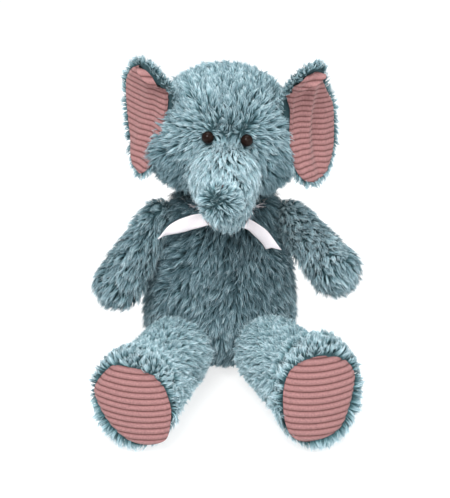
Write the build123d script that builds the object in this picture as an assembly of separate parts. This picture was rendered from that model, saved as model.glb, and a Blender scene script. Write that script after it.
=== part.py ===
from build123d import *
import math
import os

# Stuffed elephant, seated. Millimetres, +Z up, the elephant faces -Y and its own left side is +X.
# The origin is the middle of the seat on the floor. Every soft piece is drawn at the size
# its pile reaches, so that a plush cover is the cloth and its pile together.

# ---- driving dimensions -------------------------------------------------------------------
COVER = 9.0  # thickness of a plush cover, cloth and pile
LAYER_GAP = 0.5  # between a cover and the stuffing in it
MOVE_GAP = 1.0  # between two bodies that move on each other
SEAM_GAP = 0.2  # between two cloth panels of one body
FAR = 400.0  # size of a cutting block, larger than the elephant

# torso: height, half width, half depth, centre x, centre y
TORSO_RINGS = [
    (0.0, 60.0, 45.0, -2.0, 12.0),
    (14.0, 79.0, 60.0, -2.0, 11.0),
    (45.0, 91.0, 77.0, -2.5, 3.0),
    (80.0, 91.0, 79.0, -2.5, -1.0),
    (120.0, 86.0, 74.0, -1.5, -4.0),
    (160.0, 77.0, 65.0, 0.0, -7.0),
    (195.0, 65.0, 54.0, 2.0, -10.0),
    (216.0, 54.0, 47.0, 3.0, -11.0),
    (226.0, 46.0, 42.0, 3.0, -11.5),
]

NECK = (3.0, -12.0, 228.0)
NECK_BALL = 35.0
NECK_SLOPE_HEAD = 7.0  # degrees the head's underside rises away from the neck
NECK_SLOPE_TORSO = 13.0  # degrees the torso's top falls away from the neck

HEAD = (3.0, -15.0, 298.0)
HEAD_RADII = (79.0, 73.0, 75.0)
HEAD_ROLL = 5.0  # degrees, towards the elephant's left shoulder

EYE_RADIUS = 6.75
EYE_PROUD = 5.0  # height of the dome's top over the pile
EYE_AT = {"right": (-19.5, 13.0), "left": (22.5, 13.0)}  # sideways and up from the head's middle
SHANK_RADIUS = 2.0
SHANK_LENGTH = 14.0
WASHER_RADIUS = 7.5
WASHER_THICK = 1.6
WASHER_DEEP = 2.0  # behind the cloth
EYE_ROOM = 0.5  # between an eye's parts and the head

EAR_ROOT = {"right": (-57.0, -56.5, 12.0), "left": (60.0, -56.5, 21.0)}  # from the head's middle
EAR_BACK_ANGLE = {"right": 45.0, "left": 41.0}
EAR_CUP_RADIUS = 140.0
EAR_CUP_DEEP = 4.0
EAR_BACK_THICK = 9.0
EAR_LINING_THICK = 2.5
EAR_FOLD = (-5.0, 30.0)
EAR_OUTLINE = [
    (-9.0, -48.0), (8.0, -66.0), (34.0, -73.0), (60.0, -62.0), (80.0, -36.0), (89.0, 2.0),
    (86.0, 36.0), (68.0, 62.0), (42.0, 72.0), (16.0, 68.0), (-6.0, 54.0), (-2.0, 0.0),
]
EAR_LINING_SCALE = 0.84
EAR_MIDDLE = (42.0, 0.0)

TRUNK_ROOT = (1.5, -72.0, -29.0)  # trunk points are from the head's middle
TRUNK_BEND = (6.5, -112.0, -50.0)
TRUNK_END = (-2.5, -136.0, -30.0)
TRUNK_RADII = (37.0, 31.0)
TRUNK_BALL = 23.5
TRUNK_TIP_RADIUS = 24.5
TRUNK_LIFT = (-10.0, 20.0)
TRUNK_CURL = (-10.0, 25.0)
TRUNK_UNDER = (0.0, 0.6, -0.8)  # the way the corduroy of the trunk faces
TIP_UNDER = (0.0, 0.75, 0.66)
TRUNK_LINING_AT = 4.0  # from the trunk's middle line to the edge of the corduroy
TIP_LINING_AT = 8.0

# limbs: the elephant's right side is "right" and lies at -X
SHOULDER = {"right": (-71.0, -16.0, 196.0), "left": (77.0, -16.0, 195.0)}
HAND = {"right": (-118.0, -55.0, 126.0), "left": (125.0, -85.0, 158.0)}
ARM_RADII = (21.0, 29.5)
ARM_SEAM_BALL = 6.0
ARM_CONE_DEPTH = 70.0

HIP = {"right": (-55.0, -84.0, 50.5), "left": (57.0, -84.0, 52.5)}
HIP_SOCKET = 48.5
ANKLE = {"right": (-79.0, -152.0, 52.0), "left": (86.0, -152.0, 58.0)}
LEG_RADII = {"right": (45.0, 46.0), "left": (45.0, 48.0)}
FOOT = {"right": (-90.0, -188.0, 60.5), "left": (99.0, -187.0, 67.5)}
FOOT_RADII = {"right": (51.0, 59.0), "left": (52.0, 66.0)}
FOOT_THICK = 44.0
FOOT_ROUND = 17.0
FOOT_TURN = {"right": -14.0, "left": 18.0}  # degrees the sole turns outwards
FOOT_TILT = 12.0  # degrees the sole leans back
PAD_RADII = {"right": (40.0, 43.0), "left": (40.0, 46.0)}
PAD_DROP = 6.0  # the pad sits below the middle of the foot
PAD_THICK = 3.0
LEG_SEAM_BALL = 12.0

TAIL_ROOT = (-2.0, 91.0, 52.0)
TAIL_END = (-2.0, 106.0, 25.0)
TAIL_RADII = (9.0, 6.0)

RIBBON_THICK = 0.8
RIBBON_LOW = 210.0
RIBBON_HIGH = 218.0
RIBBON_DEEP = 3.5  # how far the ribbon pulls the pile in
GROOVE_SIDE = 1.0  # room above and below the ribbon in its groove
KNOT_SIZE = (15.0, 9.0, 12.0)
KNOT_AT = (3.5, -60.0, 212.5)
RIBBON_WIDTH = 16.0
RIBBON_TAPER = 0.35  # share of its width that a tail loses to its folds
RIBBON_UP = (0.0, -0.42, 0.91)  # the way a tail's width runs
# tail centre lines, knot end first
RIBBON_TAILS = {
    "right": [(-8.0, -68.0, 209.0), (-27.0, -67.0, 208.0), (-50.0, -66.0, 199.0), (-70.5, -72.0, 190.0)],
    "left": [(15.0, -68.0, 209.0), (30.0, -67.0, 207.0), (44.0, -64.0, 192.0), (57.0, -61.0, 172.0)],
}


# ---- helpers ------------------------------------------------------------------------------
def at(point):
    return Location(point)


def ball(point, radius):
    return at(point) * Sphere(radius)


def capsule(start, start_radius, end, end_radius):
    """Two balls and the cone that touches both, turned as one shape about their line."""
    along = Vector(*end) - Vector(*start)
    length = along.length
    lean = math.asin((start_radius - end_radius) / length)

    def on_ball(radius, height, angle):
        return (radius * math.cos(angle), height + radius * math.sin(angle))

    touch_start = on_ball(start_radius, 0.0, lean)
    touch_end = on_ball(end_radius, length, lean)
    middle_start = on_ball(start_radius, 0.0, (lean - math.pi / 2) / 2)
    middle_end = on_ball(end_radius, length, (lean + math.pi / 2) / 2)
    edges = [
        ThreePointArc((0, -start_radius), middle_start, touch_start),
        Line(touch_start, touch_end),
        ThreePointArc(touch_end, middle_end, (0, length + end_radius)),
        Line((0, length + end_radius), (0, -start_radius)),
    ]
    face = Plane.XZ * make_face(Curve() + edges)
    return Plane(origin=start, z_dir=along.normalized()) * revolve(face, Axis.Z)


def turned(shape, point, axis, degrees):
    return shape.rotate(Axis(point, axis), degrees)


def steps(low, high, count):
    return [low + (high - low) * i / (count - 1) for i in range(count)]


def one(shape):
    """The largest solid of a shape, without the crumbs that a cut can leave."""
    solids = sorted(shape.solids(), key=lambda s: s.volume)
    return solids[-1]


def from_head(point):
    """A point given from the head's middle, in the elephant's frame with the head's roll."""
    roll = math.radians(HEAD_ROLL)
    x = point[0] * math.cos(roll) + point[2] * math.sin(roll)
    z = -point[0] * math.sin(roll) + point[2] * math.cos(roll)
    return (HEAD[0] + x, HEAD[1] + point[1], HEAD[2] + z)


def direction_from_head(direction):
    moved = from_head(direction)
    return tuple(moved[i] - HEAD[i] for i in range(3))


HEAD_FRAME = Location(HEAD) * Location((0, 0, 0), (0, HEAD_ROLL, 0))


def torso_shape(inset):
    sections = []
    low = TORSO_RINGS[0][0] + inset
    high = TORSO_RINGS[-1][0] - inset
    for z, half_width, half_depth, cx, cy in TORSO_RINGS:
        height = min(max(z, low), high)
        plane = Plane(origin=(cx, cy, height), z_dir=(0, 0, 1))
        sections.append(plane * Ellipse(half_width - inset, half_depth - inset))
    return loft(sections)


def ring_band(low, high, offset):
    """The torso's outline between two heights, pushed outwards by an offset."""
    sections = []
    for z in steps(low, high, 3):
        below = [r for r in TORSO_RINGS if r[0] <= z][-1]
        above = [r for r in TORSO_RINGS if r[0] > z][0]
        t = (z - below[0]) / (above[0] - below[0])
        half_width, half_depth, cx, cy = (below[i] + t * (above[i] - below[i]) for i in range(1, 5))
        plane = Plane(origin=(cx, cy, z), z_dir=(0, 0, 1))
        sections.append(plane * Ellipse(half_width + offset, half_depth + offset))
    return loft(sections)


def neck_cone(slope, upward):
    """Everything on one side of a shallow cone whose point is the middle of the neck."""
    rise = FAR * math.tan(math.radians(slope))
    profile = [(0, 0), (FAR, rise), (FAR, -FAR), (0, -FAR)]
    if not upward:
        profile = [(0, 0), (FAR, -rise), (FAR, FAR), (0, FAR)]
    face = Plane.XZ * make_face(Polyline(*profile, close=True))
    return at(NECK) * revolve(face, Axis.Z)


def arm_shape(side, grow):
    root, hand = (r + grow for r in ARM_RADII)
    return capsule(SHOULDER[side], root, HAND[side], hand)


def arm_cone(side):
    """The cone about the swing axis that holds the arm wherever it swings."""
    along = Vector(*HAND[side]) - Vector(*SHOULDER[side])
    slope = math.asin(abs(along.X) / along.length)
    slope -= math.asin((ARM_RADII[1] - ARM_RADII[0]) / along.length)
    outward = Vector(math.copysign(1.0, along.X), 0, 0)
    point = Vector(*SHOULDER[side]) - outward * ((ARM_RADII[0] + MOVE_GAP) / math.cos(slope))
    wide = ARM_CONE_DEPTH / math.tan(slope)
    return Solid.make_cone(0.0, wide, ARM_CONE_DEPTH, Plane(origin=point, z_dir=outward))


def leg_tube(side, grow):
    hip, ankle = (r + grow for r in LEG_RADII[side])
    return capsule(HIP[side], hip, ANKLE[side], ankle)


def foot_frame(side):
    """Placed at the foot, with Z the way the sole faces and Y up the sole."""
    turn = Location((0, 0, 0), (0, 0, FOOT_TURN[side]))
    lean = Location((0, 0, 0), (90.0 - FOOT_TILT, 0, 0))
    return Location(FOOT[side]) * turn * lean


def foot_puck(side, grow):
    wide, high = (r + grow for r in FOOT_RADII[side])
    thick = FOOT_THICK + 2 * grow
    puck = extrude(Ellipse(wide, high), thick / 2, both=True)
    puck = fillet(puck.edges(), FOOT_ROUND + grow)
    return foot_frame(side) * puck


def leg_shape(side, grow):
    return leg_tube(side, grow) + foot_puck(side, grow)


def trunk_base_shape(grow):
    root, bend = (r + grow for r in TRUNK_RADII)
    return capsule(from_head(TRUNK_ROOT), root, from_head(TRUNK_BEND), bend)


def trunk_tip_shape(grow):
    return capsule(from_head(TRUNK_BEND), TRUNK_BALL + grow, from_head(TRUNK_END), TRUNK_TIP_RADIUS + grow)


def underside(point, normal):
    """A block that fills the side of a plane that its normal points to."""
    plane = Plane(origin=point, z_dir=normal)
    return plane * (at((0, 0, FAR / 2)) * Box(FAR, FAR, FAR))


def save(node, shape):
    os.makedirs("parts", exist_ok=True)
    shape.label = node
    export_step(shape, f"parts/{node}.step")


# ---- torso --------------------------------------------------------------------------------
torso_cuts = [neck_cone(NECK_SLOPE_TORSO, upward=False), ball(NECK, NECK_BALL + MOVE_GAP)]
for side in ("right", "left"):
    torso_cuts.append(ball(HIP[side], HIP_SOCKET))
    torso_cuts.append(arm_cone(side))

cover = torso_shape(0.0) - torso_shape(COVER)
groove_low = RIBBON_LOW - GROOVE_SIDE
groove_high = RIBBON_HIGH + GROOVE_SIDE
groove = ring_band(groove_low, groove_high, FAR / 10)
cover = cover - (groove - ring_band(groove_low - 1.0, groove_high + 1.0, -RIBBON_DEEP - SEAM_GAP))
knot_room = at(KNOT_AT) * Box(*(size + 1.0 for size in KNOT_SIZE))
cover = cover - knot_room
stuffing = torso_shape(COVER + LAYER_GAP)
for cut in torso_cuts:
    cover = cover - cut
    stuffing = stuffing - cut
seam_x = TORSO_RINGS[0][3]
save("torso_left_panel", one(cover - at((seam_x + SEAM_GAP / 2 - FAR / 2, 0, 0)) * Box(FAR, FAR, 2 * FAR)))
save("torso_right_panel", one(cover - at((seam_x - SEAM_GAP / 2 + FAR / 2, 0, 0)) * Box(FAR, FAR, 2 * FAR)))
save("torso_stuffing", one(stuffing))
save("neck_gusset", ball(NECK, NECK_BALL).solid())

# ---- head ---------------------------------------------------------------------------------
head_outer = HEAD_FRAME * scale(Sphere(1.0), by=HEAD_RADII)
head_inner = HEAD_FRAME * scale(Sphere(1.0), by=tuple(r - COVER for r in HEAD_RADII))
head_core = HEAD_FRAME * scale(Sphere(1.0), by=tuple(r - COVER - LAYER_GAP for r in HEAD_RADII))
head_cuts = [neck_cone(NECK_SLOPE_HEAD, upward=True), ball(NECK, NECK_BALL + MOVE_GAP)]
trunk_axis = direction_from_head((1, 0, 0))
trunk_root = from_head(TRUNK_ROOT)
trunk_moving = trunk_base_shape(MOVE_GAP)
head_cuts += [turned(trunk_moving, trunk_root, trunk_axis, -a) for a in steps(*TRUNK_LIFT, 3)]
head_cover = head_outer - head_inner
head_stuffing = head_core
for cut in head_cuts:
    head_cover = head_cover - cut
    head_stuffing = head_stuffing - cut

for side, (x, z) in EYE_AT.items():
    y = -HEAD_RADII[1] * math.sqrt(1 - (x / HEAD_RADII[0]) ** 2 - (z / HEAD_RADII[2]) ** 2)
    out = Vector(x / HEAD_RADII[0] ** 2, y / HEAD_RADII[1] ** 2, z / HEAD_RADII[2] ** 2).normalized()
    surface = Vector(x, y, z)
    dome = surface + out * (EYE_PROUD - EYE_RADIUS)
    dome_plane = Plane(origin=dome, z_dir=out)
    flat = dome_plane * (at((0, 0, -EYE_RADIUS)) * Box(4 * EYE_RADIUS, 4 * EYE_RADIUS, 2 * EYE_RADIUS))
    half_ball = ball(tuple(dome), EYE_RADIUS) - flat
    shank = Solid.make_cylinder(SHANK_RADIUS, SHANK_LENGTH, Plane(origin=dome + out * 0.5, z_dir=out * -1))
    eye = HEAD_FRAME * (half_ball + shank)
    washer_face = surface - out * (COVER + LAYER_GAP + WASHER_DEEP)
    washer = Solid.make_cylinder(WASHER_RADIUS, WASHER_THICK, Plane(origin=washer_face, z_dir=out * -1))
    bore = Solid.make_cylinder(
        SHANK_RADIUS + 0.1, 4 * WASHER_THICK, Plane(origin=washer_face + out * 2.0, z_dir=out * -1)
    )
    room = Solid.make_cylinder(EYE_RADIUS + EYE_ROOM, 8.0, Plane(origin=dome + out * 7.0, z_dir=out * -1))
    shank_room = Solid.make_cylinder(
        SHANK_RADIUS + EYE_ROOM, SHANK_LENGTH + 1.0, Plane(origin=dome, z_dir=out * -1)
    )
    washer_room = Solid.make_cylinder(
        WASHER_RADIUS + EYE_ROOM, WASHER_THICK + 1.0, Plane(origin=washer_face + out * EYE_ROOM, z_dir=out * -1)
    )
    for tool in (room, shank_room):
        head_cover = head_cover - HEAD_FRAME * tool
    for tool in (room, shank_room, washer_room):
        head_stuffing = head_stuffing - HEAD_FRAME * tool
    save(f"{side}_eye", one(eye))
    save(f"{side}_eye_washer", one(HEAD_FRAME * (washer - bore)))
save("head_cover", one(head_cover))
save("head_stuffing", one(head_stuffing))

# ---- ears ---------------------------------------------------------------------------------
small = [
    tuple(EAR_MIDDLE[i] + (p[i] - EAR_MIDDLE[i]) * EAR_LINING_SCALE for i in range(2)) for p in EAR_OUTLINE
]
cup_centre = (EAR_MIDDLE[0], EAR_MIDDLE[1], EAR_CUP_DEEP - EAR_CUP_RADIUS)
layers = {
    "back": (EAR_OUTLINE, EAR_CUP_RADIUS + EAR_BACK_THICK, EAR_CUP_RADIUS),
    "lining": (small, EAR_CUP_RADIUS - SEAM_GAP, EAR_CUP_RADIUS - SEAM_GAP - EAR_LINING_THICK),
}
head_room = scale(Sphere(1.0), by=tuple(r + MOVE_GAP for r in HEAD_RADII))
for side, sign in (("right", -1), ("left", 1)):
    back = math.radians(EAR_BACK_ANGLE[side])
    root = EAR_ROOT[side]
    outward = (sign * math.cos(back), math.sin(back), 0)
    facing = (-sign * math.sin(back), math.cos(back), 0)
    ear_plane = Plane(origin=root, x_dir=outward, z_dir=facing)
    head_swept = []
    for angle in steps(EAR_FOLD[0] - 2.0, EAR_FOLD[1] + 2.0, 3):
        head_swept.append(turned(head_room, root, (0, 0, 1), sign * angle))
    for name, (outline, outer, inner) in layers.items():
        # the plane's y axis points down on the left side, so the outline is turned over there
        flat_outline = [(u, -sign * v) for u, v in outline]
        prism = extrude(make_face(Spline(*flat_outline, periodic=True)), 60.0, both=True)
        shell = at((cup_centre[0], -sign * cup_centre[1], cup_centre[2])) * (Sphere(outer) - Sphere(inner))
        ear = ear_plane * (prism & shell)
        for cut in head_swept:
            ear = ear - cut
        save(f"{side}_ear_{name}", HEAD_FRAME * one(ear))

# ---- trunk --------------------------------------------------------------------------------
bend = from_head(TRUNK_BEND)
tip_end = from_head(TRUNK_END)
trunk_middle = tuple((trunk_root[i] + bend[i]) / 2 for i in range(3))
down_back = direction_from_head(TRUNK_UNDER)
tip_moving = trunk_tip_shape(MOVE_GAP)
tip_sweep = [turned(tip_moving, bend, trunk_axis, -a) for a in steps(*TRUNK_CURL, 3)]
lining_plane = tuple(trunk_middle[i] + down_back[i] * TRUNK_LINING_AT for i in range(3))
base_under = underside(lining_plane, down_back)
base_under_small = underside(tuple(lining_plane[i] + down_back[i] * SEAM_GAP for i in range(3)), down_back)
base_shell = trunk_base_shape(0.0) - trunk_base_shape(-COVER)
base_stuffing = trunk_base_shape(-COVER - LAYER_GAP)
for cut in tip_sweep:
    base_shell = base_shell - cut
    base_stuffing = base_stuffing - cut
save("trunk_cover", one(base_shell - base_under))
save("trunk_lining", one(base_shell & base_under_small))
save("trunk_stuffing", one(base_stuffing))

tip_under_at = tuple((bend[i] + tip_end[i]) / 2 for i in range(3))
tip_back = direction_from_head(TIP_UNDER)
tip_under_at = tuple(tip_under_at[i] + tip_back[i] * TIP_LINING_AT for i in range(3))
tip_under = underside(tip_under_at, tip_back)
tip_under_small = underside(tuple(tip_under_at[i] + tip_back[i] * SEAM_GAP for i in range(3)), tip_back)
tip_shell = trunk_tip_shape(0.0) - trunk_tip_shape(-COVER)
save("trunk_tip_cover", one(tip_shell - tip_under))
save("trunk_tip_lining", one(tip_shell & tip_under_small))
save("trunk_tip_stuffing", one(trunk_tip_shape(-COVER - LAYER_GAP)))

# ---- arms ---------------------------------------------------------------------------------
for side in ("right", "left"):
    save(f"{side}_arm_cover", one(arm_shape(side, 0.0) - arm_shape(side, -COVER)))
    filling = arm_shape(side, -COVER - LAYER_GAP) - ball(SHOULDER[side], ARM_SEAM_BALL + LAYER_GAP)
    save(f"{side}_arm_stuffing", one(filling))
    save(f"{side}_arm_seam", ball(SHOULDER[side], ARM_SEAM_BALL).solid())

# ---- legs ---------------------------------------------------------------------------------
for side in ("right", "left"):
    wide, high = PAD_RADII[side]
    face_at = FOOT_THICK / 2 - PAD_THICK
    pad = foot_frame(side) * (at((0, -PAD_DROP, face_at)) * extrude(Ellipse(wide, high), PAD_THICK))
    pad_room = extrude(Ellipse(wide + SEAM_GAP, high + SEAM_GAP), PAD_THICK + 2.0)
    pad_room = foot_frame(side) * (at((0, -PAD_DROP, face_at - SEAM_GAP)) * pad_room)
    inner = leg_shape(side, -COVER)
    save(f"{side}_leg_cover", one(leg_shape(side, 0.0) - inner - pad_room))
    filling = leg_shape(side, -COVER - LAYER_GAP) - ball(HIP[side], LEG_SEAM_BALL + LAYER_GAP)
    save(f"{side}_leg_stuffing", one(filling))
    save(f"{side}_foot_pad", one(pad))
    save(f"{side}_leg_seam", ball(HIP[side], LEG_SEAM_BALL).solid())

# ---- tail ---------------------------------------------------------------------------------
save("tail", one(capsule(TAIL_ROOT, TAIL_RADII[0], TAIL_END, TAIL_RADII[1])))

# ---- ribbon -------------------------------------------------------------------------------
collar = ring_band(RIBBON_LOW, RIBBON_HIGH, RIBBON_THICK - RIBBON_DEEP)
collar = collar - ring_band(RIBBON_LOW - 1.0, RIBBON_HIGH + 1.0, -RIBBON_DEEP)
save("ribbon_collar", one(collar - knot_room))
knot = at(KNOT_AT) * Box(*KNOT_SIZE)
save("ribbon_knot", one(fillet(knot.edges(), 3.0)))

for side, points in RIBBON_TAILS.items():
    path = Spline(*points)
    sections = []
    for i in range(6):
        t = i / 5
        start = path @ t
        plane = Plane(origin=start, x_dir=RIBBON_UP, z_dir=path % t)
        sections.append(plane * Rectangle(RIBBON_WIDTH * (1.0 - RIBBON_TAPER * t), RIBBON_THICK))
    save(f"ribbon_{side}_tail", one(loft(sections)))
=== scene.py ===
import math

import bpy
import numpy as np
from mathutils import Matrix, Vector, kdtree


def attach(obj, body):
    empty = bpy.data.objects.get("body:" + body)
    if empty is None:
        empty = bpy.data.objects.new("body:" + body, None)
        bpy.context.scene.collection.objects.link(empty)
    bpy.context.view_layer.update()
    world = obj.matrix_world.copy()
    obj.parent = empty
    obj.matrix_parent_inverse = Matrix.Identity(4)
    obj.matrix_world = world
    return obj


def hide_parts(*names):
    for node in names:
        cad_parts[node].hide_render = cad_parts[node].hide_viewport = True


# A seated plush elephant. Each soft part is a stuffed cloth form with a pile of real strands on
# it, the ears, soles and trunk have corduroy on them, and a satin ribbon goes round the neck.

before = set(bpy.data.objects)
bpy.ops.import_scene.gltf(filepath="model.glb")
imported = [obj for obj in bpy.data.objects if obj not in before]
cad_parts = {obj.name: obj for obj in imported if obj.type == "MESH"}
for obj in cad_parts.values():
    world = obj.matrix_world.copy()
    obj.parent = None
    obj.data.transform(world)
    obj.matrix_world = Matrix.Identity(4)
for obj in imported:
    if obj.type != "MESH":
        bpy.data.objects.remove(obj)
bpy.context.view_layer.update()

# Everything below is drawn in millimetres and turned to metres when a mesh is made.
MM = 0.001
PILE_INSET = 7.0  # from the height the pile reaches down to the cloth under it

# ---- the elephant's layout ----------------------------------------------------------------
# height, half width, half depth, centre x, centre y
TORSO_RINGS = np.array([
    (0.0, 60.0, 45.0, -2.0, 12.0),
    (14.0, 79.0, 60.0, -2.0, 11.0),
    (45.0, 91.0, 77.0, -2.5, 3.0),
    (80.0, 91.0, 79.0, -2.5, -1.0),
    (120.0, 86.0, 74.0, -1.5, -4.0),
    (160.0, 77.0, 65.0, 0.0, -7.0),
    (195.0, 65.0, 54.0, 2.0, -10.0),
    (216.0, 54.0, 47.0, 3.0, -11.0),
    (226.0, 46.0, 42.0, 3.0, -11.5),
])
TORSO_TOP = TORSO_RINGS[-1, 0]
NECK = np.array((3.0, -12.0, 228.0))
HEAD = np.array((3.0, -15.0, 298.0))
HEAD_RADII = np.array((79.0, 73.0, 75.0))
HEAD_ROLL = math.radians(5.0)
TRUNK_ROOT = (1.5, -72.0, -29.0)
TRUNK_BEND = (6.5, -112.0, -50.0)
TRUNK_END = (-2.5, -136.0, -30.0)
SHOULDER = {"right": np.array((-71.0, -16.0, 196.0)), "left": np.array((77.0, -16.0, 195.0))}
HAND = {"right": np.array((-118.0, -55.0, 126.0)), "left": np.array((125.0, -85.0, 158.0))}
HIP = {"right": np.array((-55.0, -84.0, 50.5)), "left": np.array((57.0, -84.0, 52.5))}
ANKLE = {"right": np.array((-79.0, -152.0, 52.0)), "left": np.array((86.0, -152.0, 58.0))}
LEG_RADII = {"right": (45.0, 46.0), "left": (45.0, 48.0)}
FOOT = {"right": np.array((-90.0, -188.0, 60.5)), "left": np.array((99.0, -187.0, 67.5))}
FOOT_RADII = {"right": (51.0, 59.0), "left": (52.0, 66.0)}
PAD_DROP = 6.0  # the pad sits below the middle of the foot
FOOT_THICK = 44.0
FOOT_TURN = {"right": math.radians(-14.0), "left": math.radians(18.0)}
FOOT_TILT = math.radians(12.0)
PAD_RADII = {"right": (40.0, 43.0), "left": (40.0, 46.0)}
TAIL_ROOT = np.array((-2.0, 91.0, 52.0))
TAIL_END = np.array((-2.0, 106.0, 25.0))
# room in the cloth forms for the neck, hip and shoulder balls that turn in them
NECK_ROOM = 36.5
HIP_ROOM = 41.0
SHOULDER_ROOM = 15.5
SIDES = {"right": -1.0, "left": 1.0}


def head_turned(vectors):
    v = np.atleast_2d(np.asarray(vectors, float))
    c, s = math.cos(HEAD_ROLL), math.sin(HEAD_ROLL)
    return np.column_stack((v[:, 0] * c + v[:, 2] * s, v[:, 1], -v[:, 0] * s + v[:, 2] * c))


def from_head(points):
    """Points given from the head's middle, in the elephant's frame with the head's roll."""
    moved = head_turned(points) + HEAD
    return moved if np.ndim(points) == 2 else moved[0]


def unit(v):
    v = np.asarray(v, float)
    return v / np.maximum(np.linalg.norm(v, axis=-1, keepdims=True), 1e-9)


# ---- meshes -------------------------------------------------------------------------------
def link(name, mesh, body):
    piece = bpy.data.objects.new(name, mesh)
    bpy.context.scene.collection.objects.link(piece)
    if body:
        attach(piece, body)
    return piece


def mesh_of(name, points, faces):
    mesh = bpy.data.meshes.new(name)
    mesh.from_pydata((np.asarray(points) * MM).tolist(), [], [list(map(int, f)) for f in faces])
    mesh.update()
    mesh.polygons.foreach_set("use_smooth", [True] * len(mesh.polygons))
    return mesh


def grid_faces(rows, columns, wrap):
    faces = []
    last = columns if wrap else columns - 1
    for i in range(rows - 1):
        for j in range(last):
            k = (j + 1) % columns
            faces.append((i * columns + j, i * columns + k, (i + 1) * columns + k, (i + 1) * columns + j))
    return faces


def closed_tube_faces(rings, around):
    """A grid wrapped into a tube, with a cap at each end."""
    faces = grid_faces(rings, around, True)
    faces.append(list(range(around))[::-1])
    faces.append([(rings - 1) * around + j for j in range(around)])
    return faces


def disc_faces(rings, around):
    """Rings of points round one middle point, which is the first."""
    faces = [(0, 1 + j, 1 + (j + 1) % around) for j in range(around)]
    for i in range(rings - 1):
        p, q = 1 + i * around, 1 + (i + 1) * around
        for j in range(around):
            k = (j + 1) % around
            faces.append((p + j, q + j, q + k, p + k))
    return faces


def ball(centre, radii, turn=None, rings=14, around=24):
    """Points and faces of an ellipsoid."""
    lat = np.linspace(-math.pi / 2 + 0.02, math.pi / 2 - 0.02, rings)
    lon = np.linspace(0, 2 * math.pi, around, endpoint=False)
    sphere = [(math.cos(a) * math.cos(b), math.cos(a) * math.sin(b), math.sin(a)) for a in lat for b in lon]
    points = np.array(sphere) * np.asarray(radii, float)
    if turn is not None:
        points = points @ np.asarray(turn).T
    points = points + centre
    return points, closed_tube_faces(rings, around)


def string_of_balls(start, r0, end, r1, count=9):
    """Overlapping balls along a line, from one radius to another."""
    parts = []
    for t in np.linspace(0, 1, count):
        r = r0 + (r1 - r0) * t
        parts.append(ball(np.asarray(start) * (1 - t) + np.asarray(end) * t, (r, r, r)))
    return parts


def spline(a, b, c, d, f):
    """The share f of the way from b to c on a smooth curve through four points."""
    bend = (2 * a - 5 * b + 4 * c - d) * f * f + (3 * b - a - 3 * c + d) * f ** 3
    return 0.5 * (2 * b + (c - a) * f + bend)


def smooth_loop(points, count):
    """A closed smooth curve through points, at even steps of its parameter."""
    p = np.array(points, float)
    n = len(p)
    out = []
    for t in np.linspace(0, n, count, endpoint=False):
        i, f = int(t), t - int(t)
        out.append(spline(*(p[(i + k - 1) % n] for k in range(4)), f))
    return np.array(out)


def curve_through(points, count):
    """An open smooth curve through points."""
    p = np.array(points, float)
    p = np.vstack((2 * p[0] - p[1], p, 2 * p[-1] - p[-2]))
    out = []
    for t in np.linspace(0, len(p) - 3, count):
        i = min(int(t), len(p) - 4)
        out.append(spline(*p[i : i + 4], t - i))
    return np.array(out)


def torso_at(z):
    """Half width, half depth and centre of the torso at a height."""
    return [np.interp(z, TORSO_RINGS[:, 0], TORSO_RINGS[:, i]) for i in range(1, 5)]


def torso_lathe(inset):
    around = 48
    heights = np.concatenate(([inset], np.linspace(inset + 3, TORSO_TOP - inset, 26)))
    angles = np.linspace(0, 2 * math.pi, around, endpoint=False)
    points = []
    for z in heights:
        a, b, cx, cy = torso_at(z)
        for q in angles:
            points.append((cx + (a - inset) * math.cos(q), cy + (b - inset) * math.sin(q), z))
    return np.array(points), closed_tube_faces(len(heights), around)


def joined(parts):
    points, faces, base = [], [], 0
    for p, f in parts:
        points.append(p)
        faces += [[i + base for i in face] for face in f]
        base += len(p)
    return np.vstack(points), faces


def evaluated_copy(piece):
    depsgraph = bpy.context.evaluated_depsgraph_get()
    return bpy.data.meshes.new_from_object(piece.evaluated_get(depsgraph))


def points_of(mesh):
    flat = np.zeros(len(mesh.vertices) * 3)
    mesh.vertices.foreach_get("co", flat)
    return flat.reshape(-1, 3) / MM


def set_points(mesh, points):
    mesh.vertices.foreach_set("co", (np.asarray(points) * MM).ravel())
    mesh.update()


def normals_of(mesh):
    flat = np.zeros(len(mesh.vertices) * 3)
    mesh.vertices.foreach_get("normal", flat)
    return flat.reshape(-1, 3)


def faced(mesh, direction):
    """Turns a mesh's faces over where most of them look away from a direction."""
    if normals_of(mesh).mean(axis=0) @ direction < 0:
        mesh.flip_normals()
    return mesh


CLOTH_FRAMES = 16


def stuffed(name, parts, voxel=4.0, smooth=8, pressure=0.0, cap=3.0):
    """One closed cloth form round the parts, swollen by its stuffing by no more than the cap."""
    points, faces = joined(parts)
    work = bpy.data.objects.new(name + "_work", mesh_of(name + "_work", points, faces))
    bpy.context.scene.collection.objects.link(work)
    remesh = work.modifiers.new("remesh", "REMESH")
    remesh.mode = "VOXEL"
    remesh.voxel_size = voxel * MM
    soften = work.modifiers.new("soften", "SMOOTH")
    soften.iterations = smooth
    soften.factor = 0.5
    mesh = evaluated_copy(work)
    work.modifiers.clear()
    work.data = mesh
    if pressure:
        before = points_of(mesh)
        cloth = work.modifiers.new("cloth", "CLOTH")
        cloth.settings.use_pressure = True
        cloth.settings.uniform_pressure_force = pressure
        cloth.settings.effector_weights.gravity = 0
        cloth.settings.quality = 4
        for number in range(1, CLOTH_FRAMES + 1):
            bpy.context.scene.frame_set(number)
        swollen = evaluated_copy(work)
        after = points_of(swollen)
        move = after - before
        far = np.linalg.norm(move, axis=1, keepdims=True)
        move *= np.minimum(1.0, cap / np.maximum(far, 1e-9))
        work.modifiers.clear()
        set_points(mesh, before + move)
        bpy.context.scene.frame_set(1)
    bpy.data.objects.remove(work)
    mesh.name = name
    mesh.polygons.foreach_set("use_smooth", [True] * len(mesh.polygons))
    return mesh


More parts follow.
